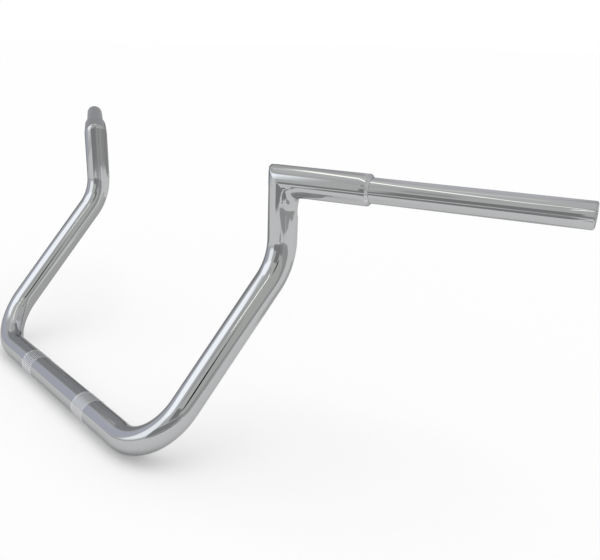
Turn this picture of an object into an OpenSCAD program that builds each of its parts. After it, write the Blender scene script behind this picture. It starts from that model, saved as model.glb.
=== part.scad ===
// Motorcycle handlebar with pointed corners, all sizes in mm.
// Origin: middle of the bottom bar's axis. +X along the bar, +Y towards the rider, +Z up.
// One bent tube makes the bottom bar, both risers and both uprights. A mitred sleeve is
// welded on each upright, and a smaller control tube is welded into each sleeve.

/* [Bottom bar and risers] */
// outside diameter of the main tube
main_od = 31.75; // [30:0.25:33]
// wall of the main tube
main_wall = 3; // [2:0.25:3.5]
// distance between the axes of the two risers
riser_spacing = 440; // [400:5:500]
// radius of the lower bends, at the tube's axis
lower_bend_r = 65; // [55:5:80]
// length of a riser's axis, from the bottom bar's axis to the upright's axis
riser_length = 250; // [220:5:320]
// lean of the risers towards the rider, from upright
riser_lean = 42.3; // [35:0.1:48]
// radius of the bend between riser and upright, at the tube's axis
upper_bend_r = 68; // [55:1:90]
// length of an upright's axis, from the upper bend's corner to the mitred corner
upright_length = 87; // [75:1:120]

/* [Clamp bands] */
// length of a knurled clamp band along the bar
band_length = 28; // [20:1:34]
// distance between the middles of the two clamp bands
band_spacing = 155; // [110:5:165]
// height of the knurl's crests over the tube
knurl_height = 0.25; // [0.1:0.05:0.4]

/* [Mitred corners] */
// length of a corner sleeve's axis, from the mitred corner to its end face
sleeve_length = 94; // [80:1:110]
// sweep of the sleeves and control tubes towards the rider
sweep = 25; // [15:1:32]
// length along the control tube of the ground weld at the sleeve's end
nose_length = 2.6; // [1.5:0.1:3]
// height of the small step that the ground weld leaves on the control tube
nose_step = 0.5; // [0.3:0.1:0.8]
// radius of the weld fillet in the inner corner below the mitre
corner_weld = 6.5; // [5:0.5:8]

/* [Control tubes] */
// outside diameter of a control tube
control_od = 25.4; // [24.5:0.1:25.5]
// wall of a control tube
control_wall = 3; // [2:0.25:3.5]
// length of a control tube outside its sleeve
control_length = 208; // [180:2:240]
// length of a control tube inside its sleeve
control_insert = 40; // [25:5:50]
// how far the end that goes into the sleeve is turned down, on the radius
spigot_relief = 0.2; // [0.1:0.05:0.3]
// radial clearance between the turned-down end and its sleeve
slip_clearance = 0.1; // [0.05:0.05:0.15]
// chamfer on the outer edge of a control tube's open end
end_chamfer = 1.2; // [0.5:0.1:1.5]

/* [Wire slots] */
// width of a wire slot
slot_width = 12; // [10:0.5:13]
// length of an upright's wire slot, over its round ends
slot_length = 17; // [14:0.5:20]
// height of the middle of an upright's slot below the mitred corner's axis
slot_drop = 29; // [28:0.5:36]
// direction that an upright's slot faces, turned from the side towards the rider
slot_turn = 55; // [30:5:90]
// length of the wire exit under the middle of the bottom bar
exit_length = 26; // [20:1:34]

/* [Hidden] */
$fn = 96;
cut = 240;
main_r = main_od / 2;
main_bore_r = main_r - main_wall;
control_r = control_od / 2;
control_bore_r = control_r - control_wall;
spigot_r = control_r - spigot_relief;
socket_r = spigot_r + slip_clearance;
half_base = riser_spacing / 2;
band_r = main_r + knurl_height;
slot_r = slot_width / 2;

// the corner between riser and upright, and the mitred corner above it
kink_y = riser_length * sin(riser_lean);
kink_z = riser_length * cos(riser_lean);
corner_z = kink_z + upright_length;

// straight lengths that the bends leave
upper_tangent = upper_bend_r * tan(riser_lean / 2);
riser_straight = riser_length - lower_bend_r - upper_tangent;
base_straight = riser_spacing - 2 * lower_bend_r;

// bending draws the tube in by this much, and each bend laps into its straights by this angle
bend_draw = 0.05;
bend_reach = 0.5;

// the weld's tube lies just under the main tube's surface, so only its inner side shows
weld_r = main_r - 0.4;
weld_path_r = weld_r + corner_weld;

// places a child at the corner between riser and upright
module at_kink() translate([half_base, kink_y, kink_z]) children();

// places a child at the mitred corner, with +X over the control tube
module at_corner() translate([half_base, kink_y, corner_z]) rotate([0, 0, sweep]) children();

// a shape and its mirror image on the other side
module both() { children(); mirror([1, 0, 0]) children(); }

// a length of round bar along an arc of radius path_r, from angle start to start + turn
module bend(r, path_r, start, turn) rotate([0, 0, start]) rotate_extrude(angle = turn)
    translate([path_r, 0]) circle(r = r);

// a bend of the tube, drawn in a little and reaching a little way into the straights
module tube_bend(r, path_r, start, turn)
    bend(r - bend_draw, path_r, start - bend_reach, turn + 2 * bend_reach);

// riser and upright of one side with their bends, filled to radius r and longer by over
module side_path(r, over) {
    // the lower bend and the riser lie in a plane that leans towards the rider
    rotate([-riser_lean, 0, 0]) {
        translate([half_base - lower_bend_r, 0, lower_bend_r])
            rotate([90, 0, 0]) tube_bend(r, lower_bend_r, -90, 90);
        translate([half_base, 0, lower_bend_r]) cylinder(r = r, h = riser_straight);
    }
    // the upper bend turns the tube upright
    at_kink() translate([0, -upper_bend_r, upper_tangent])
        rotate([90, 0, 90]) tube_bend(r, upper_bend_r, -riser_lean, riser_lean);
    at_kink() translate([0, 0, upper_tangent])
        cylinder(r = r, h = upright_length - upper_tangent + over);
}

// the whole bent path, filled to radius r
module bar_path(r, over) {
    rotate([0, 90, 0]) cylinder(r = r, h = base_straight, center = true);
    both() side_path(r, over);
}

// everything on the sleeve's side of the mitre plane
module beyond_mitre() at_corner() rotate([0, 45, 0])
    translate([-cut / 2, -cut / 2, 0]) cube(cut);

// weld in the inner corner, half of it on each side of the mitre plane
module corner_fill() at_corner() translate([weld_path_r, 0, -weld_path_r])
    rotate([90, 0, 0]) bend(weld_r, weld_path_r, 90, 90);

// a round-ended cut through one wall from the tube's axis, facing +X with its length upright
module slot_cut(length) rotate([0, 90, 0]) {
    for (s = [-1, 1]) translate([s * (length / 2 - slot_r), 0, 0])
        cylinder(r = slot_r, h = main_od);
    translate([slot_r - length / 2, -slot_r, 0]) cube([length - slot_width, slot_width, main_od]);
}

// the knurled bands and the wire slots belong to the one bent tube
module bent_tube() color("silver") difference() {
    union() {
        bar_path(main_r, main_od);
        both() corner_fill();
        for (s = [-1, 1]) translate([s * band_spacing / 2, 0, 0])
            rotate([0, 90, 0]) cylinder(r = band_r, h = band_length, center = true);
    }
    bar_path(main_bore_r, main_od);
    both() beyond_mitre();
    both() translate([half_base, kink_y, corner_z - slot_drop])
        rotate([0, 0, slot_turn]) slot_cut(slot_length);
    rotate([0, 90, 0]) slot_cut(exit_length);
}

// a sleeve runs from the mitre plane to its ground weld on the control tube
module corner_sleeve() intersection() {
    difference() {
        union() {
            at_corner() rotate([0, 90, 0]) rotate_extrude() polygon([
                [0, -main_od], [main_r, -main_od], [main_r, sleeve_length],
                [control_r + nose_step, sleeve_length + nose_length],
                [0, sleeve_length + nose_length]]);
            corner_fill();
        }
        at_corner() rotate([0, 90, 0]) translate([0, 0, -2 * main_od])
            cylinder(r = socket_r, h = 3 * main_od + sleeve_length);
    }
    beyond_mitre();
}

module corner_sleeve_right() color("gainsboro") corner_sleeve();
module corner_sleeve_left() color("gainsboro") mirror([1, 0, 0]) corner_sleeve();

// an open tube: a turned-down end inside the sleeve, then the full tube from the weld outwards
module control_tube() at_corner() rotate([0, 90, 0]) translate([0, 0, sleeve_length])
    rotate_extrude() polygon([
        [control_bore_r, -control_insert], [spigot_r, -control_insert],
        [spigot_r, nose_length], [control_r, nose_length],
        [control_r, control_length - end_chamfer],
        [control_r - end_chamfer, control_length], [control_bore_r, control_length]]);

module control_tube_right() color("lightgray") control_tube();
module control_tube_left() color("lightgray") mirror([1, 0, 0]) control_tube();

bent_tube();
corner_sleeve_right();
corner_sleeve_left();
control_tube_right();
control_tube_left();
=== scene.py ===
"""Looks of a chromed motorcycle handlebar with pointed corners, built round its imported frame."""

import logging
import math
from collections.abc import Callable, Sequence
from dataclasses import dataclass, field
from enum import Enum

import bpy
from mathutils import Matrix, Vector
from mathutils.bvhtree import BVHTree


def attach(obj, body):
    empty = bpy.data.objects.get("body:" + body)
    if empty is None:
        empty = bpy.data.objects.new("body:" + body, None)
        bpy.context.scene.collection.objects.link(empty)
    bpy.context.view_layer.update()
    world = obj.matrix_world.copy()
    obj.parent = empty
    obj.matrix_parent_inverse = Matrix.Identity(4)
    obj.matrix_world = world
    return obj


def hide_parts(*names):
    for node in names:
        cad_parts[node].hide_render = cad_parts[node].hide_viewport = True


MM = 0.001
RING_POINTS = 96
# finish numbers: chrome, the near-black painted shade of bores and slot walls, and the ground weld
PLATED, SHADED_INSIDE, WELD = range(3)
SHARP_ANGLE = math.radians(32)
PHOTO_WIDTH, PHOTO_HEIGHT = 600, 560
SENSOR_MM = 36.0
FLOOR_GAP = 0.0002
WHITE = (1.0, 1.0, 1.0)
# noise of the plate: repeats in a metre, and the cloud's values where haze starts and is full
CLOUD_SCALE, SPECK_SCALE = 26.0, 900.0
HAZE_FROM, HAZE_FULL = 0.42, 0.68
TINT_LOW = 0.9

logging.basicConfig(level=logging.INFO, format="%(name)s: %(message)s")
log = logging.getLogger("handlebar")

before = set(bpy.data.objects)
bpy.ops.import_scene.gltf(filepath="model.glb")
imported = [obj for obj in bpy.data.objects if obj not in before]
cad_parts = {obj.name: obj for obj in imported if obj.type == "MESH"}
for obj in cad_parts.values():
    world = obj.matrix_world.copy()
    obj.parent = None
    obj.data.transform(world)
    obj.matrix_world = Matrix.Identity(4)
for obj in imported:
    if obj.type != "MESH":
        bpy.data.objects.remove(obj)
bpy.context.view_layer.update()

Triple = tuple[float, float, float]
Color = Triple
Ring = list[Vector]
Profile = list[tuple[float, float]]
Edge = tuple[tuple[float, float], ...]


class Side(Enum):
    """The rider's right (+X) or left (-X) half of the bar."""

    RIGHT = 1
    LEFT = -1

    @property
    def label(self) -> str:
        """The word that piece names end with."""
        return self.name.lower()


@dataclass(frozen=True)
class BarSizes:
    """The bar's real sizes in millimetres and degrees, and the places that follow from them."""

    main_r: float = 15.875
    main_bore_r: float = 12.875
    half_base: float = 220.0
    lower_bend_r: float = 65.0
    riser_length: float = 250.0
    riser_lean: float = 42.3
    upper_bend_r: float = 68.0
    upright_length: float = 87.0
    sweep: float = 25.0
    sleeve_length: float = 94.0
    nose_length: float = 2.6
    socket_r: float = 12.6
    weld_r: float = 15.475
    weld_fillet: float = 6.5
    control_r: float = 12.7
    spigot_r: float = 12.5
    control_bore_r: float = 9.7
    control_length: float = 208.0
    control_insert: float = 40.0
    band_r: float = 16.12
    band_length: float = 28.0
    band_spacing: float = 155.0
    slot_width: float = 12.0
    slot_length: float = 17.0
    slot_drop: float = 29.0
    slot_turn: float = 55.0
    exit_length: float = 26.0

    @property
    def lean(self) -> float:
        """Lean of the risers, in radians."""
        return math.radians(self.riser_lean)

    @property
    def riser_dir(self) -> Vector:
        """Direction that the risers climb in."""
        return Vector((0, math.sin(self.lean), math.cos(self.lean)))

    @property
    def hand_dir(self) -> Vector:
        """Direction of the right sleeve and control tube."""
        turn = math.radians(self.sweep)
        return Vector((math.cos(turn), math.sin(turn), 0))

    @property
    def kink(self) -> Vector:
        """Corner of the axis between right riser and right upright."""
        return Vector((self.half_base, 0, 0)) + self.riser_dir * self.riser_length

    @property
    def corner(self) -> Vector:
        """Mitred corner of the right side's axes."""
        return self.kink + Vector((0, 0, self.upright_length))

    @property
    def weld_path_r(self) -> float:
        """Radius of the path that the inner corner's weld follows."""
        return self.weld_r + self.weld_fillet

    @property
    def corner_station(self) -> "Station":
        """The station at the mitred corner, across the upright."""
        return Station(self.corner, Vector((0, 1, 0)), Vector((-1, 0, 0)))

    def mitre_ring(self, radius: float) -> Ring:
        """The ring in which the upright's tube of this radius meets the right mitre plane."""
        outs = [self.corner_station.direction(k) * radius for k in range(RING_POINTS)]
        return [self.corner + out - Vector((0, 0, out.dot(self.hand_dir))) for out in outs]


@dataclass
class Station:
    """One place along a tube's axis, with two directions across the axis."""

    centre: Vector
    across: Vector
    inward: Vector

    def ring(self, radius: float) -> Ring:
        """A ring of points round the axis at this radius."""
        return [self.point(radius, k) for k in range(RING_POINTS)]

    def direction(self, k: int) -> Vector:
        """The direction from the axis to the ring's point k."""
        turn = 2 * math.pi * k / RING_POINTS
        return self.across * math.cos(turn) + self.inward * math.sin(turn)

    def point(self, radius: float, k: int) -> Vector:
        """The ring's point k at this radius."""
        return self.centre + self.direction(k) * radius


SIZES = BarSizes()


def mirrored(point: Vector) -> Vector:
    """The same point on the bar's other side."""
    return Vector((-point.x, point.y, point.z))


def spread(start: float, end: float, steps: int) -> list[float]:
    """Evenly spaced values from start to end, both included."""
    return [start + (end - start) * i / steps for i in range(steps + 1)]


def clamped(value: float) -> float:
    """The value, held between 0 and 1."""
    return min(max(value, 0.0), 1.0)


@dataclass
class MeshPiece:
    """A mesh under construction, in millimetres, that becomes one piece of the bar."""

    name: str
    points: list[Vector] = field(default_factory=list)
    faces: list[tuple[int, ...]] = field(default_factory=list)
    finishes: list[int] = field(default_factory=list)

    def add_ring(self, ring: Ring) -> list[int]:
        """Adds a ring's points.

        Args:
            ring: The points, in order.

        Returns:
            The numbers of the points in the mesh.
        """
        first = len(self.points)
        self.points.extend(ring)
        return list(range(first, first + len(ring)))

    def add_face(self, face: tuple[int, ...], finish: int = PLATED) -> None:
        """Adds one face with the number of its finish."""
        self.faces.append(face)
        self.finishes.append(finish)

    def skin(self, rings: Sequence[Sequence[int]], finish: int = PLATED) -> None:
        """Joins neighbouring rings with quads.

        Args:
            rings: Numbers of the points of each ring.
            finish: Number of the finish that the quads get.
        """
        count = len(rings[0])
        for low, high in zip(rings, rings[1:]):
            for k in range(count):
                n = (k + 1) % count
                self.add_face((low[k], low[n], high[n], high[k]), finish)

    def finish(self, *materials: bpy.types.Material) -> bpy.types.Object:
        """Makes the object, smooth apart from its real edges.

        Args:
            *materials: The finishes, in the order of their numbers.

        Returns:
            The new object.
        """
        mesh = bpy.data.meshes.new(self.name)
        mesh.from_pydata([tuple(p * MM) for p in self.points], [], self.faces)
        for material in materials:
            mesh.materials.append(material)
        mesh.polygons.foreach_set("material_index", self.finishes)
        mesh.validate()
        mesh.polygons.foreach_set("use_smooth", [True] * len(mesh.polygons))
        mesh.set_sharp_from_angle(angle=SHARP_ANGLE)
        piece = bpy.data.objects.new(self.name, mesh)
        bpy.context.scene.collection.objects.link(piece)
        return piece


def keep_as_piece(piece: bpy.types.Object, *nodes: str) -> None:
    """Rides a piece on the bar and reports it.

    Args:
        piece: The finished piece.
        *nodes: The solids that it stands for, if any.
    """
    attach(piece, "root")
    if nodes:
        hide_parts(*nodes)
    log.info("%s: %d faces", piece.name, len(piece.data.polygons))


@dataclass
class CornerWeld:
    """The mitred corner's outer form: where the tube's wall or the weld's fillet lies."""

    sizes: BarSizes
    # how softly tube and fillet flow together, and where round and along the tube that starts
    blend: float = 2.4
    blend_toward: float = 0.6
    blend_below: float = 31.0
    blend_run: float = 12.0
    # how the mitre line is rounded, and from which direction on it is ground flush
    edge_round: float = 0.7
    edge_share: float = 0.6
    flush_from: float = 0.35
    # how far and over what reach the outer tip is rounded off
    tip_drop: float = 1.5
    tip_reach: float = 4.5
    search_steps: int = 30

    def outside(self, reach: float, toward: float, aside: float, height: float) -> float:
        """Tells how far a point lies outside the tube and its weld, which flow together.

        Args:
            reach: Distance of the point from the upright's axis.
            toward: Cosine of its direction against the sleeve's.
            aside: Sine of its direction against the sleeve's.
            height: Its height over the mitred corner, negative below it.

        Returns:
            A distance, under zero inside the metal.
        """
        path = self.sizes.weld_path_r
        over = reach - self.sizes.main_r
        along = math.hypot(reach * toward - path, max(height + path, 0.0)) - path
        weld = math.hypot(reach * aside, along) - self.sizes.weld_r
        near = clamped((height + self.blend_below) / self.blend_run)
        blend = max(self.blend * clamped(toward / self.blend_toward) * near, 0.01)
        share = clamped(0.5 + 0.5 * (weld - over) / blend)
        return weld * (1 - share) + over * share - blend * share * (1 - share)

    def reach_at(self, toward: float, aside: float, height: Callable[[float], float]) -> float:
        """Finds how far the metal reaches from the upright's axis.

        Args:
            toward: Cosine of the direction against the sleeve's.
            aside: Sine of the direction against the sleeve's.
            height: The height over the corner that goes with each reach.

        Returns:
            The reach in millimetres, never less than the tube's own radius.
        """
        low = self.sizes.main_r
        if toward <= 0 or self.outside(low, toward, aside, height(low)) >= 0:
            return low
        high = low + 2 * self.sizes.weld_fillet
        for _ in range(self.search_steps):
            middle = (low + high) / 2
            if self.outside(middle, toward, aside, height(middle)) < 0:
                low = middle
            else:
                high = middle
        return low

    def softened(self, reach: float, gap: float, toward: float) -> float:
        """Draws the surface in a little at the mitre line, as grinding leaves it.

        Args:
            reach: Distance from the axis.
            gap: Distance to the mitre plane.
            toward: Cosine of the direction against the sleeve's, -1 at the outer tip.

        Returns:
            The softened distance from the axis.
        """
        lack = self.edge_round * clamped(1 - gap / self.edge_round)
        drawn = self.edge_round - math.sqrt(self.edge_round**2 - lack**2)
        kept = self.edge_share * clamped((self.flush_from - toward) * 2)
        tip = max(-toward, 0.0) ** 3 * max(1 - gap / self.tip_reach, 0.0) ** 2
        return reach - drawn * kept - self.tip_drop * tip


@dataclass
class BentTube:
    """The one bent tube: bottom bar, both risers and both uprights, with its wire slots."""

    sizes: BarSizes
    # length of the zone below the mitred corner that follows the weld's form, in rings that
    # stand closer towards the mitre line
    corner_zone: float = 34.0
    corner_steps: int = 44
    crowding: float = 1.6
    # steps along half the base, the lower bend, the riser, the upper bend and the upright
    steps: tuple[int, ...] = (16, 40, 14, 24, 4)

    def stations(self) -> list[Station]:
        """Lists the right half's stations, from the bar's middle to the corner's zone.

        Returns:
            The stations in order along the axis.
        """
        s = self.sizes
        side, climb = Vector((1, 0, 0)), s.riser_dir
        flat = Vector((0, math.cos(s.lean), -math.sin(s.lean)))
        base, lower, riser, upper, upright = self.steps
        half = s.half_base - s.lower_bend_r
        out = [Station(side * x, flat, climb) for x in spread(0, half, base)]
        centre = side * half + climb * s.lower_bend_r
        for turn in spread(0, math.pi / 2, lower)[1:]:
            inward = climb * math.cos(turn) - side * math.sin(turn)
            out.append(Station(centre - inward * s.lower_bend_r, flat, inward))
        tangent = s.upper_bend_r * math.tan(s.lean / 2)
        foot = side * s.half_base
        for run in spread(s.lower_bend_r, s.riser_length - tangent, riser)[1:]:
            out.append(Station(foot + climb * run, flat, -side))
        centre = s.kink + Vector((0, -s.upper_bend_r, tangent))
        for turn in spread(s.lean, 0, upper)[1:]:
            outward = Vector((0, math.cos(turn), -math.sin(turn)))
            out.append(Station(centre + outward * s.upper_bend_r, outward, -side))
        for rise in spread(tangent, s.upright_length - self.corner_zone, upright)[1:]:
            out.append(Station(s.kink + Vector((0, 0, rise)), Vector((0, 1, 0)), -side))
        return out

    def corner_rings(self) -> list[Ring]:
        """Makes the outer rings of the right upright's last stretch, up to the mitre plane.

        Returns:
            Rings from the corner's zone to the mitre plane.
        """
        s, weld = self.sizes, CornerWeld(self.sizes)
        rings: list[Ring] = [[] for _ in range(self.corner_steps)]
        for k in range(RING_POINTS):
            out = s.corner_station.direction(k)
            toward = out.dot(s.hand_dir)
            aside = math.sqrt(max(1 - toward**2, 0))
            reach = weld.reach_at(toward, aside, lambda r, c=toward: -r * c)
            end = -reach * toward
            for i in range(self.corner_steps):
                share = 1 - (1 - (i + 1) / self.corner_steps) ** self.crowding
                height = -self.corner_zone + (end + self.corner_zone) * share
                here = weld.reach_at(toward, aside, lambda _, h=height: h)
                here = min(here, reach) if toward > 0 else here
                gap = (end - height) * math.sqrt(0.5)
                here = weld.softened(here, gap, toward)
                if i == self.corner_steps - 1:
                    height = -here * toward
                rings[i].append(s.corner + out * here + Vector((0, 0, height)))
        return rings

    def build(self, chrome: bpy.types.Material, shade_finish: bpy.types.Material) -> bpy.types.Object:
        """Builds the tube as one closed mesh and cuts its wire slots.

        Args:
            chrome: The tube's outside.
            shade_finish: Its bore, which the plating doesn't reach, painted nearly black as the
                shade inside the tube.

        Returns:
            The finished piece.
        """
        s = self.sizes
        stations = self.stations()
        outer = [st.ring(s.main_r) for st in stations] + self.corner_rings()
        inner = [st.ring(s.main_bore_r) for st in stations[::2]] + [s.mitre_ring(s.main_bore_r)]
        loops = []
        piece = MeshPiece("bent_tube_chrome")
        for half in (outer, inner):
            left = [[mirrored(p) for p in ring] for ring in half[:0:-1]]
            loops.append([piece.add_ring(ring) for ring in left + half])
        piece.skin(loops[0])
        # the bore and the end faces at the mitre get the near-black painted shade of the tube's
        # inside
        piece.skin([loops[0][-1], *loops[1][::-1], loops[0][0]], SHADED_INSIDE)
        tube = piece.finish(chrome, shade_finish)
        self.cut_slots(tube)
        return tube

    def cut_slots(self, tube: bpy.types.Object) -> None:
        """Cuts both uprights' wire slots and the wire exit under the bar.

        Args:
            tube: The closed tube.
        """
        s, up = self.sizes, Vector((0, 0, 1))
        turn = math.radians(s.slot_turn)
        middle = s.corner - up * s.slot_drop
        facing = Vector((math.cos(turn), math.sin(turn), 0))
        cutters = [
            SlotCutter(middle, facing, up, s.slot_length, s.slot_width),
            SlotCutter(mirrored(middle), mirrored(facing), up, s.slot_length, s.slot_width),
            SlotCutter(Vector(), -up, Vector((1, 0, 0)), s.exit_length, s.slot_width),
        ]
        smooth = SmoothSource(tube)
        for cutter in cutters:
            cutter.cut(tube)
        smooth.restore(tube)


@dataclass
class SlotCutter:
    """A round-ended cutter that goes through one wall from the tube's axis."""

    middle: Vector
    facing: Vector
    along: Vector
    length: float
    width: float
    reaches: tuple[float, float] = (4.0, 24.0)
    arc_steps: int = 24

    def outline(self) -> list[tuple[float, float]]:
        """Draws the slot's round-ended outline.

        Returns:
            Its points, along and across the slot, in millimetres.
        """
        radius, straight = self.width / 2, (self.length - self.width) / 2
        points = []
        for end in (1, -1):
            for i in range(self.arc_steps + 1):
                turn = math.pi * (i / self.arc_steps - 0.5)
                x = straight + radius * math.cos(turn)
                points.append((end * x, end * radius * math.sin(turn)))
        return points

    def cut(self, tube: bpy.types.Object) -> None:
        """Cuts the slot out of the tube.

        Args:
            tube: The piece that gets the slot.
        """
        across = self.facing.cross(self.along)
        piece = MeshPiece("slot_cutter")
        rings = []
        for reach in self.reaches:
            centre = self.middle + self.facing * reach
            ring = [centre + self.along * a + across * c for a, c in self.outline()]
            rings.append(piece.add_ring(ring))
        # the slot walls take the cutter's near-black painted shade
        piece.skin(rings, SHADED_INSIDE)
        piece.add_face(tuple(rings[0]), SHADED_INSIDE)
        piece.add_face(tuple(reversed(rings[1])), SHADED_INSIDE)
        cutter = piece.finish(*tube.data.materials)
        cutter.data.flip_normals()
        change = tube.modifiers.new("slot", "BOOLEAN")
        change.operation, change.solver, change.object = "DIFFERENCE", "EXACT", cutter
        bake_modifiers(tube)
        bpy.data.objects.remove(cutter)


def bake_modifiers(piece: bpy.types.Object) -> None:
    """Replaces a piece's mesh with the mesh that its modifiers give.

    Args:
        piece: The piece with modifiers.
    """
    graph = bpy.context.evaluated_depsgraph_get()
    old = piece.data
    piece.data = bpy.data.meshes.new_from_object(piece.evaluated_get(graph))
    piece.modifiers.clear()
    bpy.data.meshes.remove(old)


class SmoothSource:
    """Remembers a smooth surface, so that cutting it doesn't mark its polish."""

    same_face = 0.93
    same_corner = 0.9

    def __init__(self, piece: bpy.types.Object) -> None:
        """Copies the surface and its normals.

        Args:
            piece: The piece before it is cut.
        """
        mesh = piece.data
        self.points = [v.co.copy() for v in mesh.vertices]
        self.faces = [tuple(p.vertices) for p in mesh.polygons]
        sums = [Vector() for _ in self.points]
        for loop, polygon in ((i, p) for p in mesh.polygons for i in p.loop_indices):
            sums[mesh.loops[loop].vertex_index] += mesh.corner_normals[loop].vector
        self.normals = [s.normalized() for s in sums]
        self.tree = BVHTree.FromPolygons(self.points, self.faces)

    def normal_at(self, place: Vector, flat: Vector) -> Vector | None:
        """Reads the smooth normal nearest to a place.

        Args:
            place: A point on the cut surface.
            flat: The normal of the face that it belongs to.

        Returns:
            The smooth normal, or None where the face is a cut or an edge.
        """
        near, normal, index, _ = self.tree.find_nearest(place)
        if near is None or normal.dot(flat) < self.same_face:
            return None
        total, weight = Vector(), 0.0
        for v in self.faces[index]:
            share = 1 / ((self.points[v] - place).length + 1e-7)
            if self.normals[v].dot(normal) > self.same_corner:
                total += self.normals[v] * share
                weight += share
        return (total / weight).normalized() if weight else None

    def restore(self, piece: bpy.types.Object) -> None:
        """Gives the cut piece its smooth normals back.

        Args:
            piece: The piece after it was cut.
        """
        mesh = piece.data
        mesh.polygons.foreach_set("use_smooth", [True] * len(mesh.polygons))
        mesh.set_sharp_from_angle(angle=SHARP_ANGLE)
        own = [Vector(n.vector) for n in mesh.corner_normals]
        for polygon in mesh.polygons:
            for loop in polygon.loop_indices:
                place = mesh.vertices[mesh.loops[loop].vertex_index].co
                smooth = self.normal_at(place, polygon.normal)
                if smooth is not None:
                    own[loop] = smooth
        mesh.normals_split_custom_set([tuple(n) for n in own])


@dataclass
class HandSide:
    """One side's corner sleeve and control tube."""

    sizes: BarSizes
    side: Side
    tube: BentTube
    # the sleeve's last stretch: distance back from its end, and drop below its surface
    shoulder: Edge = ((0.8, 0.0), (0.35, 0.08), (0.05, 0.35))
    # the ground weld: distance past the sleeve's end, and radius
    weld_line: Edge = (
        (0.25, 15.075), (0.7, 14.55), (1.2, 14.0), (1.7, 13.6),
        (2.15, 13.4), (2.48, 13.2), (2.6, 13.05),
    )
    # the weld's dabs: their depth, and how many go round and shift from ring to ring, twice
    dab_depth: float = 0.16
    dabs: Edge = ((23, 2.1), (31, -1.3))
    # where the sleeve's bore has its last round ring before the mitre plane
    bore_start: float = 22.0
    # the control tube's straight part: how far it keeps from the weld and from the end
    keep_off: tuple[float, float] = (4.0, 1.5)
    # the control tube's open end: distance back from the end, and drop below its surface
    end_edge: Edge = (
        (1.25, 0.04), (1.05, 0.16), (0.25, 0.96), (0.08, 1.22),
        (0.0, 1.6), (0.0, 2.5), (0.15, 2.85),
    )
    # where the open end's bore has its full width, and how far in it is plated; deeper in it gets
    # the near-black painted shade
    mouth_depth: float = 0.5
    plated_unshaded_depth: float = 24.0

    def place(self, point: Vector) -> Vector:
        """Puts a right-hand point on this side."""
        return point if self.side is Side.RIGHT else mirrored(point)

    def axis_ring(self, along: float, radius: float) -> Ring:
        """A ring round the right-hand axis, in step with the corner's rings.

        Args:
            along: Distance from the mitred corner.
            radius: The ring's radius.

        Returns:
            The ring's points on this side.
        """
        s = self.sizes
        centre = s.corner + s.hand_dir * along
        around = [self.flip(point) - s.corner for point in s.corner_station.ring(1.0)]
        return [self.place(centre + out * radius) for out in around]

    def dabbed_ring(self, row: int, along: float, radius: float) -> Ring:
        """A ring of the weld, with the shallow dabs that its beads leave.

        Args:
            row: The ring's number in the weld.
            along: Distance from the mitred corner.
            radius: The ring's radius before the dabs.

        Returns:
            The ring's points on this side.
        """
        s = self.sizes
        centre = self.place(s.corner + s.hand_dir * along)
        out = []
        for k, point in enumerate(self.axis_ring(along, radius)):
            turn = 2 * math.pi * k / RING_POINTS
            dab = sum(math.sin(count * turn + shift * row) for count, shift in self.dabs)
            away = point - centre
            out.append(centre + away * (1 - self.dab_depth * (1 + dab / 2) / 2 / radius))
        return out

    def flip(self, point: Vector) -> Vector:
        """Mirrors a right-hand point in the mitre plane."""
        s = self.sizes
        normal = (Vector((0, 0, 1)) + s.hand_dir).normalized()
        away = point - s.corner
        return s.corner + away - normal * (2 * away.dot(normal))

    def build_sleeve(self, *finishes: bpy.types.Material) -> bpy.types.Object:
        """Builds the sleeve from the mitre plane to its ground weld.

        Args:
            *finishes: The finishes of the outside, the bore's near-black painted shade and the
                       weld.

        Returns:
            The finished piece.
        """
        s = self.sizes
        piece = MeshPiece(f"corner_sleeve_{self.side.label}_chrome")
        outer = [
            piece.add_ring([self.place(self.flip(p)) for p in ring])
            for ring in reversed(self.tube.corner_rings())
        ]
        end, nose = s.sleeve_length, s.sleeve_length + s.nose_length
        run = spread(self.tube.corner_zone, end - self.shoulder[0][0], 8)[:-1]
        straight: Profile = [(a, s.main_r) for a in run]
        straight += [(end - back, s.main_r - drop) for back, drop in self.shoulder]
        outer += [piece.add_ring(self.axis_ring(a, r)) for a, r in straight]
        ground = [
            piece.add_ring(self.dabbed_ring(row, end + past, radius))
            for row, (past, radius) in enumerate(self.weld_line)
        ]
        bore = (nose, end / 2, self.bore_start)
        inner = [piece.add_ring(self.axis_ring(a, s.socket_r)) for a in bore]
        mitre = [self.place(self.flip(point)) for point in s.mitre_ring(s.socket_r)]
        inner.append(piece.add_ring(mitre))
        piece.skin(outer)
        piece.skin([outer[-1], *ground], WELD)
        # the sleeve's inner end and bore get the near-black painted shade
        piece.skin([ground[-1], *inner, outer[0]], SHADED_INSIDE)
        return self.close(piece, *finishes)

    def build_control_tube(self, *finishes: bpy.types.Material) -> bpy.types.Object:
        """Builds the control tube with its turned-down inner end and rounded open end.

        Args:
            *finishes: The finishes of the outside and the bore's near-black painted shade.

        Returns:
            The finished piece.
        """
        s = self.sizes
        piece = MeshPiece(f"control_tube_{self.side.label}_chrome")
        inner, step = s.sleeve_length - s.control_insert, s.sleeve_length + s.nose_length
        end = s.sleeve_length + s.control_length
        outline: Profile = [(inner, s.spigot_r), (step, s.spigot_r), (step, s.control_r)]
        first, last = self.keep_off
        outline += [(a, s.control_r) for a in spread(step + first, end - last, 10)]
        outline += [(end - back, s.control_r - drop) for back, drop in self.end_edge]
        bore = (end - self.mouth_depth, end - self.plated_unshaded_depth, inner)
        outer = [piece.add_ring(self.axis_ring(a, r)) for a, r in outline]
        rings = [piece.add_ring(self.axis_ring(a, s.control_bore_r)) for a in bore]
        piece.skin(outer)
        piece.skin([outer[-1], *rings[:2]])
        # deeper in, the bore gets the near-black painted shade
        piece.skin([*rings[1:], outer[0]], SHADED_INSIDE)
        return self.close(piece, *finishes)

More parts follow.
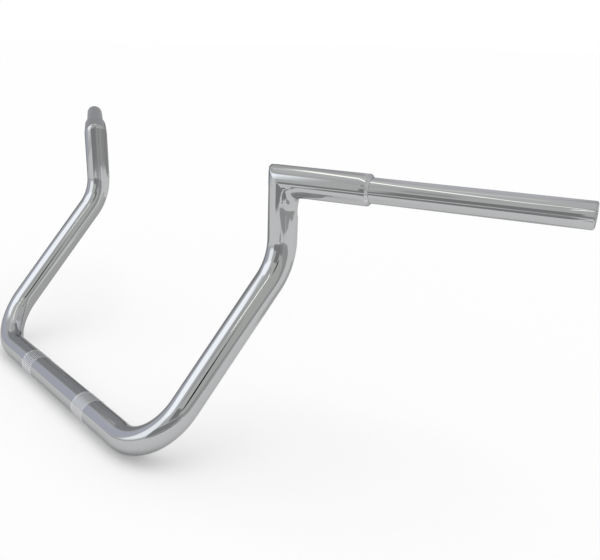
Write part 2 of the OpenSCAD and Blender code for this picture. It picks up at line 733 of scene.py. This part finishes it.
    def close(self, piece: MeshPiece, *finishes: bpy.types.Material) -> bpy.types.Object:
        """Turns the faces outwards and makes the object.

        Args:
            piece: The closed mesh.
            *finishes: Its finishes.

        Returns:
            The finished piece.
        """
        if self.side is Side.LEFT:
            piece.faces = [tuple(reversed(f)) for f in piece.faces]
        return piece.finish(*finishes)


@dataclass
class KnurledBand:
    """One knurled clamp band: crossed spiral grooves pressed into a raised band."""

    sizes: BarSizes
    side: Side
    around: int = 48
    pitch: float = 2.1
    points_per_pitch: int = 6
    groove: float = 0.23
    # how much a sharp crest would rise over the band before it is cut flat
    crest: float = 1.35
    # the plain collar at each end, its gap to the knurl, its chamfer, and its depth in the tube
    collar: float = 0.9
    collar_gap: float = 0.15
    chamfer: float = 0.12
    sunk: float = 0.3

    def height(self, turn: float, along: float) -> float:
        """Height of the knurl over its grooves.

        Args:
            turn: Angle round the bar.
            along: Distance from the band's middle.

        Returns:
            A share of the groove's depth, from 0 to 1.
        """
        spiral = turn * self.around / (2 * math.pi)
        rise = 1.0
        for step in (along / self.pitch, -along / self.pitch):
            phase = (spiral + step) / 2 % 1
            rise = min(rise, 1 - abs(2 * phase - 1))
        return min(rise * self.crest, 1.0)

    def build(self, material: bpy.types.Material) -> bpy.types.Object:
        """Builds the band as a closed ring.

        Args:
            material: The band's finish.

        Returns:
            The finished piece.
        """
        s = self.sizes
        piece = MeshPiece(f"clamp_band_{self.side.label}_knurl")
        half, points = s.band_length / 2, self.around * self.points_per_pitch
        steps = round(s.band_length / self.pitch * self.points_per_pitch)
        low, top = s.main_r - self.sunk, s.band_r
        edge = [(half, low), (half, top - self.chamfer), (half - self.chamfer, top)]
        edge.append((half - self.collar + self.collar_gap, top))
        lanes: list[tuple[float, Callable[[float], float]]] = []
        lanes += [(-along, lambda _, r=radius: r) for along, radius in edge]
        for along in spread(-half + self.collar, half - self.collar, steps):
            lanes.append((along, lambda t, a=along: top - self.groove * (1 - self.height(t, a))))
        lanes += [(along, lambda _, r=radius: r) for along, radius in reversed(edge)]
        centre = self.side.value * s.band_spacing / 2
        rings = []
        for along, radius in lanes:
            ring = []
            for k in range(points):
                turn = 2 * math.pi * k / points
                r = radius(turn)
                ring.append(Vector((centre + along, -r * math.sin(turn), r * math.cos(turn))))
            rings.append(piece.add_ring(ring))
        piece.skin([*rings, rings[0]])
        return piece.finish(material)


@dataclass
class NodeSheet:
    """A short way to lay out shader nodes in one tree."""

    tree: bpy.types.NodeTree

    def add(
        self, kind: str, inputs: dict[str | int, object] | None = None, **props: object
    ) -> bpy.types.Node:
        """Adds one node.

        Args:
            kind: The node's type name.
            inputs: Values or sockets for its inputs, by name or number.
            **props: Settings of the node itself.

        Returns:
            The new node.
        """
        node = self.tree.nodes.new(kind)
        for key, value in props.items():
            setattr(node, key, value)
        for key, value in (inputs or {}).items():
            if isinstance(value, bpy.types.NodeSocket):
                self.tree.links.new(value, node.inputs[key])
            else:
                node.inputs[key].default_value = value
        return node

    def math(self, operation: str, a: object, b: object = 0.0) -> bpy.types.NodeSocket:
        """A sum of two values or sockets.

        Args:
            operation: The kind of sum.
            a: Its first term.
            b: Its second term.

        Returns:
            The result's socket.
        """
        return self.add("ShaderNodeMath", {0: a, 1: b}, operation=operation).outputs[0]

    def seen_rays(self) -> bpy.types.NodeSocket:
        """Marks the rays that look: from the camera, off gloss or through something clear.

        Returns:
            A socket that is 1 for those rays and 0 for all others.
        """
        path = self.add("ShaderNodeLightPath")
        direct = self.math("ADD", path.outputs["Is Camera Ray"], path.outputs["Is Glossy Ray"])
        return self.math("ADD", direct, path.outputs["Is Transmission Ray"])


def make_group(
    name: str, inputs: dict[str, float], outputs: dict[str, str]
) -> tuple[bpy.types.NodeTree, NodeSheet, bpy.types.Node, bpy.types.Node]:
    """Starts a shader node group with named sockets.

    Args:
        name: The group's name.
        inputs: Names and first values of its number inputs.
        outputs: Names and socket kinds of its outputs.

    Returns:
        The tree, its sheet, and its input and output nodes.
    """
    tree = bpy.data.node_groups.new(name, "ShaderNodeTree")
    for key, value in inputs.items():
        socket = tree.interface.new_socket(key, in_out="INPUT", socket_type="NodeSocketFloat")
        socket.default_value = value
    for key, kind in outputs.items():
        tree.interface.new_socket(key, in_out="OUTPUT", socket_type=kind)
    sheet = NodeSheet(tree)
    return tree, sheet, sheet.add("NodeGroupInput"), sheet.add("NodeGroupOutput")


def polish_group() -> bpy.types.NodeTree:
    """Builds the effect that buffed plate shows: soft waves, faint haze and a thin tint.

    Returns:
        The node group, with the outputs Tint, Haze and Waves.
    """
    tree, sheet, start, end = make_group(
        "buffed_plate",
        {"Wave Length": 30.0, "Haze": 0.03, "Tint Depth": 0.03, "Fine": 0.2},
        {"Tint": "NodeSocketFloat", "Haze": "NodeSocketFloat", "Waves": "NodeSocketFloat"},
    )
    place = sheet.add("ShaderNodeTexCoord").outputs["Object"]
    long = sheet.math("DIVIDE", 1000.0, start.outputs["Wave Length"])
    waves = sheet.add(
        "ShaderNodeTexNoise", {"Vector": place, "Scale": long, "Detail": 1.0, "Roughness": 0.4}
    )
    cloud = sheet.add("ShaderNodeTexNoise", {"Vector": place, "Scale": CLOUD_SCALE, "Detail": 3.0})
    fine = {"Vector": place, "Scale": SPECK_SCALE, "Detail": 2.0}
    specks = sheet.add("ShaderNodeTexNoise", fine)
    hazy = sheet.add(
        "ShaderNodeMapRange",
        {"Value": cloud.outputs[0], "From Min": HAZE_FROM, "From Max": HAZE_FULL},
    ).outputs[0]
    haze = sheet.math("MULTIPLY", hazy, start.outputs["Haze"])
    depth = sheet.math("MULTIPLY", specks.outputs[0], start.outputs["Fine"])
    tint = sheet.math("MULTIPLY", cloud.outputs[0], start.outputs["Tint Depth"])
    links = tree.links
    links.new(sheet.math("SUBTRACT", 1.0, tint), end.inputs["Tint"])
    links.new(haze, end.inputs["Haze"])
    links.new(sheet.math("ADD", waves.outputs[0], depth), end.inputs["Waves"])
    return tree


def painted_shade_grooves_group() -> bpy.types.NodeTree:
    """Builds the painted shade in grooves round the bar's axis, darker towards a groove's floor.

    Returns:
        The node group, with the output Shade: 0 at a groove's floor and 1 on the crests.
    """
    tree, sheet, start, end = make_group(
        "painted_knurl_shade",
        {"Floor Radius": 0.0159, "Crest Radius": 0.0161},
        {"Shade": "NodeSocketFloat"},
    )
    place = sheet.add("ShaderNodeTexCoord").outputs["Object"]
    across = sheet.add("ShaderNodeVectorMath", {0: place, 1: (0, 1, 1)}, operation="MULTIPLY")
    radius = sheet.add("ShaderNodeVectorMath", {0: across.outputs[0]}, operation="LENGTH")
    shade = sheet.add("ShaderNodeMapRange", {"Value": radius.outputs["Value"]})
    tree.links.new(start.outputs["Floor Radius"], shade.inputs["From Min"])
    tree.links.new(start.outputs["Crest Radius"], shade.inputs["From Max"])
    tree.links.new(shade.outputs[0], end.inputs["Shade"])
    return tree


@dataclass(frozen=True)
class PlateFinish:
    """A chrome finish: its colour, gloss and how flat its polish is."""

    name: str
    color: Color
    roughness: float
    haze: float
    wave_length: float
    wave_depth: float
    fine: float
    edge_gloss: float = 1.0
    metal: float = 1.0
    # colour of the painted shade at the grooves' floors, if the finish has grooves
    painted_recess_shade_color: Color | None = None

    def build(self, polish: bpy.types.NodeTree) -> bpy.types.Material:
        """Builds the material.

        Args:
            polish: The shared effect of buffed plate.

        Returns:
            The finished material.
        """
        material = bpy.data.materials.new(self.name)
        material.use_nodes = True
        sheet = NodeSheet(material.node_tree)
        shader = material.node_tree.nodes["Principled BSDF"]
        shader.inputs["Metallic"].default_value = self.metal
        shader.inputs["Specular Tint"].default_value = (*(self.edge_gloss,) * 3, 1.0)
        group = sheet.add("ShaderNodeGroup", node_tree=polish)
        group.inputs["Wave Length"].default_value = self.wave_length
        group.inputs["Haze"].default_value = self.haze
        group.inputs["Fine"].default_value = self.fine
        tinted = sheet.add(
            "ShaderNodeMix",
            {6: (*(c * TINT_LOW for c in self.color), 1.0), 7: (*self.color, 1.0)},
            data_type="RGBA",
        )
        links = material.node_tree.links
        links.new(group.outputs["Tint"], tinted.inputs[0])
        color = tinted.outputs[2]
        # painted shade: the colour darkens from the crests to the grooves' floors
        if self.painted_recess_shade_color:
            groove = sheet.add("ShaderNodeGroup", node_tree=painted_shade_grooves_group())
            color = sheet.add(
                "ShaderNodeMix",
                {0: groove.outputs["Shade"], 6: (*self.painted_recess_shade_color, 1.0), 7: color},
                data_type="RGBA",
            ).outputs[2]
        links.new(color, shader.inputs["Base Color"])
        rough = sheet.math("ADD", group.outputs["Haze"], self.roughness)
        links.new(rough, shader.inputs["Roughness"])
        bump = sheet.add(
            "ShaderNodeBump",
            {"Strength": 1.0, "Distance": self.wave_depth * MM, "Height": group.outputs["Waves"]},
        )
        links.new(bump.outputs[0], shader.inputs["Normal"])
        return material


TENT_CENTRE = Vector((0.1, 0.08, 0.15))
TENT_STEPS_ROUND, TENT_STEPS_UP = 24, 12


@dataclass(frozen=True)
class TentPanel:
    """A curved panel of the studio tent, given by the directions that it covers in degrees."""

    name: str
    distance: float
    turn: tuple[float, float]
    rise: tuple[float, float]
    color: Color
    strength: float
    soft: float = 0.15

    def rows(self) -> list[Ring]:
        """Places the panel's points round the bar.

        Returns:
            The points in metres, row by row.
        """
        rows = []
        for rise in map(math.radians, spread(*self.rise, TENT_STEPS_UP)):
            flat, row = math.cos(rise), []
            for turn in map(math.radians, spread(*self.turn, TENT_STEPS_ROUND)):
                out = Vector((math.cos(turn) * flat, math.sin(turn) * flat, math.sin(rise)))
                row.append(TENT_CENTRE + out * self.distance)
            rows.append(row)
        return rows


@dataclass(frozen=True)
class FlatPanel:
    """A flat panel: a mat on the floor, a strip lamp or a standing board."""

    name: str
    start: Triple
    side: Triple
    up: Triple
    color: Color
    strength: float
    soft: float = 0.15

    def rows(self) -> list[Ring]:
        """The panel's four corners in metres, in two rows."""
        start, side, up = Vector(self.start), Vector(self.side), Vector(self.up)
        return [[start, start + side], [start + up, start + side + up]]


def glow_material(
    panel: TentPanel | FlatPanel, fade: bpy.types.NodeTree
) -> bpy.types.Material:
    """Builds the plain glow of a studio card, with its soft border.

    Args:
        panel: The card, whose strength is 1 where it looks white.
        fade: The shared effect of a soft border.

    Returns:
        The card's material.
    """
    material = bpy.data.materials.new(panel.name)
    material.use_nodes = True
    shader = material.node_tree.nodes["Principled BSDF"]
    shader.inputs["Base Color"].default_value = (0.0, 0.0, 0.0, 1.0)
    shader.inputs["Specular IOR Level"].default_value = 0.0
    shader.inputs["Emission Color"].default_value = (*panel.color, 1.0)
    shader.inputs["Emission Strength"].default_value = panel.strength
    border = NodeSheet(material.node_tree).add("ShaderNodeGroup", node_tree=fade)
    border.inputs["Soft"].default_value = panel.soft
    material.node_tree.links.new(border.outputs["Mask"], shader.inputs["Alpha"])
    return material


def stand_up(panel: TentPanel | FlatPanel, fade: bpy.types.NodeTree) -> None:
    """Makes a stage card that only reflections see.

    Args:
        panel: The card's form and glow.
        fade: The shared effect of a soft border.
    """
    rows = panel.rows()
    wide, high = len(rows[0]) - 1, len(rows) - 1
    faces, places = [], []
    for j in range(high):
        for i in range(wide):
            corners = ((i, j), (i + 1, j), (i + 1, j + 1), (i, j + 1))
            faces.append(tuple(b * (wide + 1) + a for a, b in corners))
            places += [(a / wide, b / high) for a, b in corners]
    mesh = bpy.data.meshes.new(panel.name)
    mesh.from_pydata([tuple(p) for row in rows for p in row], [], faces)
    layer = mesh.uv_layers.new(name="border")
    layer.data.foreach_set("uv", [v for place in places for v in place])
    mesh.materials.append(glow_material(panel, fade))
    card = bpy.data.objects.new(panel.name, mesh)
    bpy.context.scene.collection.objects.link(card)
    card.visible_camera = False
    card.visible_diffuse = False
    card.visible_shadow = False
    card.visible_transmission = False
    log.info("stage panel %s", panel.name)


def fade_group() -> bpy.types.NodeTree:
    """Builds the soft border that the cards share.

    Returns:
        The node group, with the output Mask.
    """
    tree, sheet, start, end = make_group(
        "soft_border", {"Soft": 0.15}, {"Mask": "NodeSocketFloat"}
    )
    place = sheet.add("ShaderNodeTexCoord").outputs["UV"]
    split = sheet.add("ShaderNodeSeparateXYZ", {0: place})
    edges = []
    for axis in (0, 1):
        middle = sheet.math("SUBTRACT", split.outputs[axis], 0.5)
        inside = sheet.math("SUBTRACT", 0.5, sheet.math("ABSOLUTE", middle))
        ramp = sheet.add("ShaderNodeMapRange", {"Value": inside}, interpolation_type="SMOOTHSTEP")
        tree.links.new(start.outputs["Soft"], ramp.inputs["From Max"])
        edges.append(ramp.outputs[0])
    tree.links.new(sheet.math("MULTIPLY", *edges), end.inputs["Mask"])
    return tree


PANELS = (
    TentPanel("tent_wall", 1.9, (-180, 180), (-12, 64), (0.99, 1.0, 0.99), 0.72, 0.02),
    TentPanel("tent_roof", 1.8, (-180, 180), (60, 84), WHITE, 0.80, 0.1),
    TentPanel("back_wall", 1.6, (68, 144), (-12, 62), (1.0, 0.995, 1.02), 0.64, 0.12),
    TentPanel("left_wall", 1.5, (132, 196), (-12, 36), (0.97, 0.98, 1.02), 0.42, 0.1),
    TentPanel("left_edge", 1.45, (141, 155), (-7, 4), (0.96, 0.97, 1.04), 0.16, 0.2),
    TentPanel("violet_cloth", 1.45, (92, 131), (12, 64), (0.985, 0.985, 1.05), 0.88, 0.2),
    TentPanel("left_cloth", 1.4, (-168, -132), (-9, 32), (0.92, 0.95, 1.08), 0.76, 0.2),
    TentPanel("front_wall", 1.4, (-35, 30), (-12, 50), (1.0, 1.02, 0.98), 0.70, 0.1),
    TentPanel("front_side", 1.62, (-94, -30), (-4, 46), (1.0, 1.01, 1.0), 0.75, 0.12),
    TentPanel("front_dark", 1.25, (-94, -22), (-14, 5), (1.0, 1.0, 1.01), 0.40, 0.1),
    TentPanel("front_low", 1.26, (-32, 48), (-14, 3), WHITE, 0.52, 0.1),
    TentPanel("window_low", 1.2, (-134, -88), (-4, 34), (0.97, 1.0, 1.04), 1.6, 0.22),
    TentPanel("window_high", 1.15, (-156, -80), (20, 57), (0.97, 1.0, 1.05), 1.8, 0.2),
    TentPanel("window_frame", 1.12, (-70, -58), (30, 50), WHITE, 0.55, 0.25),
    TentPanel("back_low", 1.45, (32, 104), (-9, 7), (1.0, 1.01, 1.0), 0.46, 0.2),
    FlatPanel("strip_lamp", (-0.35, 0.3, 1.1), (1.00, -0.815, 0.0), (0.05, 0.06, 0.0),
        (1.0, 1.0, 0.93), 2.1, 0.15),
    FlatPanel("strip_lamp_turn", (0.46, -0.41, 1.1), (0.40, 0.03, 0.0), (0.0, 0.09, 0.0),
        (1.0, 1.0, 0.93), 1.9, 0.2),
    FlatPanel("strip_lamp_end", (0.93, -0.42, 1.1), (-0.13, -0.38, 0.0), (0.06, -0.02, 0.0),
        (1.0, 1.0, 0.95), 3.4, 0.12),
    FlatPanel("near_mat", (0.15, -0.42, -0.012), (0.45, 0.40, 0.0), (0.22, -0.245, 0.0),
        (1.0, 1.0, 1.02), 0.36, 0.06),
    FlatPanel("middle_mat", (0.60, -0.02, -0.012), (0.25, 0.37, 0.0), (0.22, -0.15, 0.0),
        WHITE, 0.50, 0.1),
    FlatPanel("low_board", (0.05, -0.60, 0.074), (0.97, 0.0, 0.0), (0.0, 0.0, 0.15),
        (1.0, 1.0, 1.01), 0.36, 0.1),
    FlatPanel("high_board", (0.36, -0.50, 0.20), (0.55, 0.0, 0.0), (0.0, 0.0, 0.27),
        WHITE, 0.33, 0.15),
    FlatPanel("front_mat", (0.24, -0.66, -0.0122), (0.58, 0.04, 0.0), (0.0, 0.24, 0.0),
        WHITE, 0.36, 0.08),
    FlatPanel("aisle_left", (0.68, -0.98, -0.0125), (0.44, 0.88, 0.0), (0.5, -0.2, 0.0),
        (1.0, 1.0, 1.03), 0.50, 0.05),
    FlatPanel("aisle_right", (1.12, -0.12, -0.0125), (0.23, 0.77, 0.0), (0.5, -0.13, 0.0),
        (1.0, 1.0, 1.03), 0.54, 0.05),
    FlatPanel("back_mat", (-0.62, 0.03, -0.012), (0.70, 0.0, 0.0), (0.0, 0.6, 0.0),
        (1.0, 1.0, 0.99), 0.68, 0.08),
    FlatPanel("back_board", (-0.6, 1.32, -0.01), (1.1, 0.0, 0.0), (0.0, 0.0, 0.26),
        WHITE, 0.42, 0.15),
    FlatPanel("far_mat", (1.33, 0.62, -0.0125), (-0.95, 0.95, 0.0), (0.32, 0.32, 0.0),
        WHITE, 0.6, 0.1),
    FlatPanel("corner_mat", (0.07, 0.3, -0.0125), (0.34, 0.0, 0.0), (0.0, 0.4, 0.0),
        WHITE, 0.72, 0.15),
    FlatPanel("left_mat", (-1.5, -0.25, -0.0125), (0.95, 0.0, 0.0), (0.0, 0.8, 0.0),
        (1.0, 1.0, 1.02), 0.46, 0.1),
    FlatPanel("black_flag", (0.775, -0.235, 0.32), (0.125, -0.23, 0.0), (0.0, 0.0, 0.28),
        (0.0, 0.0, 0.0), 1.0, 0.05),
)


@dataclass
class Studio:
    """A plain pale floor, soft light and the panels that the chrome mirrors."""

    floor_z: float
    floor_reach: float = 30.0
    room_light: float = 0.75
    lamp_light: float = 0.8
    lamp_spread: float = 50.0
    lamp_tilt: tuple[float, float] = (-14.0, 10.0)
    paper: float = 0.86

    def build(self) -> None:
        """Sets up the whole studio."""
        self.build_world()
        self.build_floor()
        self.build_lamp()
        fade = fade_group()
        for panel in PANELS:
            stand_up(panel, fade)
        bpy.context.scene.view_settings.view_transform = "Standard"

    def build_world(self) -> None:
        """White for the camera and for reflections, plain soft light for the rest."""
        world = bpy.data.worlds.new("plain_room")
        world.use_nodes = True
        bpy.context.scene.world = world
        tree = world.node_tree
        tree.nodes.clear()
        sheet = NodeSheet(tree)
        soft, white = (
            sheet.add("ShaderNodeBackground", {"Color": (*WHITE, 1.0), "Strength": strength})
            for strength in (self.room_light, 1.0)
        )
        seen = sheet.math("MINIMUM", sheet.seen_rays(), 1.0)
        mix = sheet.add("ShaderNodeMixShader", {0: seen})
        tree.links.new(soft.outputs[0], mix.inputs[1])
        tree.links.new(white.outputs[0], mix.inputs[2])
        out = sheet.add("ShaderNodeOutputWorld")
        tree.links.new(mix.outputs[0], out.inputs[0])

    def build_floor(self) -> None:
        """A matt white floor under the bottom bar, which keeps the bar's soft shadow."""
        mesh = bpy.data.meshes.new("floor")
        r, z = self.floor_reach, self.floor_z
        mesh.from_pydata([(-r, -r, z), (r, -r, z), (r, r, z), (-r, r, z)], [], [(0, 1, 2, 3)])
        floor = bpy.data.objects.new("floor", mesh)
        bpy.context.scene.collection.objects.link(floor)
        material = bpy.data.materials.new("floor_paper")
        material.use_nodes = True
        tree = material.node_tree
        tree.nodes.clear()
        sheet = NodeSheet(tree)
        matt = sheet.add("ShaderNodeBsdfDiffuse", {"Color": (*(self.paper,) * 3, 1)})
        rest = 1.0 - self.paper * (self.room_light + self.lamp_light / math.pi)
        strength = sheet.math("MULTIPLY", sheet.seen_rays(), rest)
        lift = sheet.add("ShaderNodeEmission", {"Color": (*WHITE, 1.0), "Strength": strength})
        both = sheet.add("ShaderNodeAddShader", {0: matt.outputs[0], 1: lift.outputs[0]})
        out = sheet.add("ShaderNodeOutputMaterial")
        tree.links.new(both.outputs[0], out.inputs[0])
        mesh.materials.append(material)

    def build_lamp(self) -> None:
        """A wide soft lamp from above that stays out of the chrome."""
        lamp = bpy.data.lights.new("overhead_light", "SUN")
        lamp.energy, lamp.angle = self.lamp_light, math.radians(self.lamp_spread)
        hung = bpy.data.objects.new("overhead_light", lamp)
        hung.rotation_euler = (*map(math.radians, self.lamp_tilt), 0)
        hung.visible_glossy = False
        bpy.context.scene.collection.objects.link(hung)


@dataclass(frozen=True)
class PhotoCamera:
    """The camera that looks from the photograph's side."""

    place: Triple = (0.835448, -0.322214, 0.411417)
    right: Triple = (0.6123705, 0.7902735, 0.0216829)
    down: Triple = (0.2996508, -0.2066397, -0.9314019)
    focal_px: float = 762.73
    centre_px: tuple[float, float] = (276.32, 332.23)
    clip: tuple[float, float] = (0.01, 200.0)

    def build(self) -> None:
        """Makes the camera and makes it the scene's own."""
        data = bpy.data.cameras.new("photo_camera")
        data.sensor_width = SENSOR_MM
        data.lens = self.focal_px * SENSOR_MM / PHOTO_WIDTH
        data.shift_x = (PHOTO_WIDTH / 2 - self.centre_px[0]) / PHOTO_WIDTH
        data.shift_y = (self.centre_px[1] - PHOTO_HEIGHT / 2) / PHOTO_WIDTH
        data.clip_start, data.clip_end = self.clip
        camera = bpy.data.objects.new("photo_camera", data)
        x, y = Vector(self.right), -Vector(self.down)
        turn = Matrix((x, y, x.cross(y))).transposed().to_4x4()
        camera.matrix_world = Matrix.Translation(Vector(self.place)) @ turn
        bpy.context.scene.collection.objects.link(camera)
        bpy.context.scene.camera = camera


POLISHED = PlateFinish(
    "polished_chrome", (0.485, 0.49, 0.495), 0.035, 0.035, 34.0, 0.08, 0.004, edge_gloss=0.72
)
# the knurl's grooves get a near-black painted shade at their floors
KNURLED = PlateFinish(
    "knurled_chrome", (0.95, 0.95, 0.96), 0.22, 0.08, 34.0, 0.02, 0.02,
    painted_recess_shade_color=(0.2, 0.2, 0.21),
)
GROUND = PlateFinish("ground_weld", (0.58, 0.58, 0.6), 0.1, 0.1, 1.8, 0.9, 0.06, edge_gloss=0.6)
# inside bores and slot walls: painted nearly black as shade
INSIDE_SHADE = PlateFinish("painted_inside_shade", (0.05, 0.048, 0.046), 0.6, 0.1, 20.0, 0.05, 0.1, metal=0.6)


def main() -> None:
    """Builds the bar, its studio and its camera."""
    polish = polish_group()
    chrome, knurl = POLISHED.build(polish), KNURLED.build(polish)
    shade_finish, weld = INSIDE_SHADE.build(polish), GROUND.build(polish)
    tube = BentTube(SIZES)
    keep_as_piece(tube.build(chrome, shade_finish), "bent_tube")
    for side in Side:
        hand = HandSide(SIZES, side, tube)
        keep_as_piece(hand.build_sleeve(chrome, shade_finish, weld), f"corner_sleeve_{side.label}")
        keep_as_piece(hand.build_control_tube(chrome, shade_finish), f"control_tube_{side.label}")
        keep_as_piece(KnurledBand(SIZES, side).build(knurl))
    Studio(floor_z=-SIZES.band_r * MM - FLOOR_GAP).build()
    PhotoCamera().build()


if __name__ == "__main__":
    main()
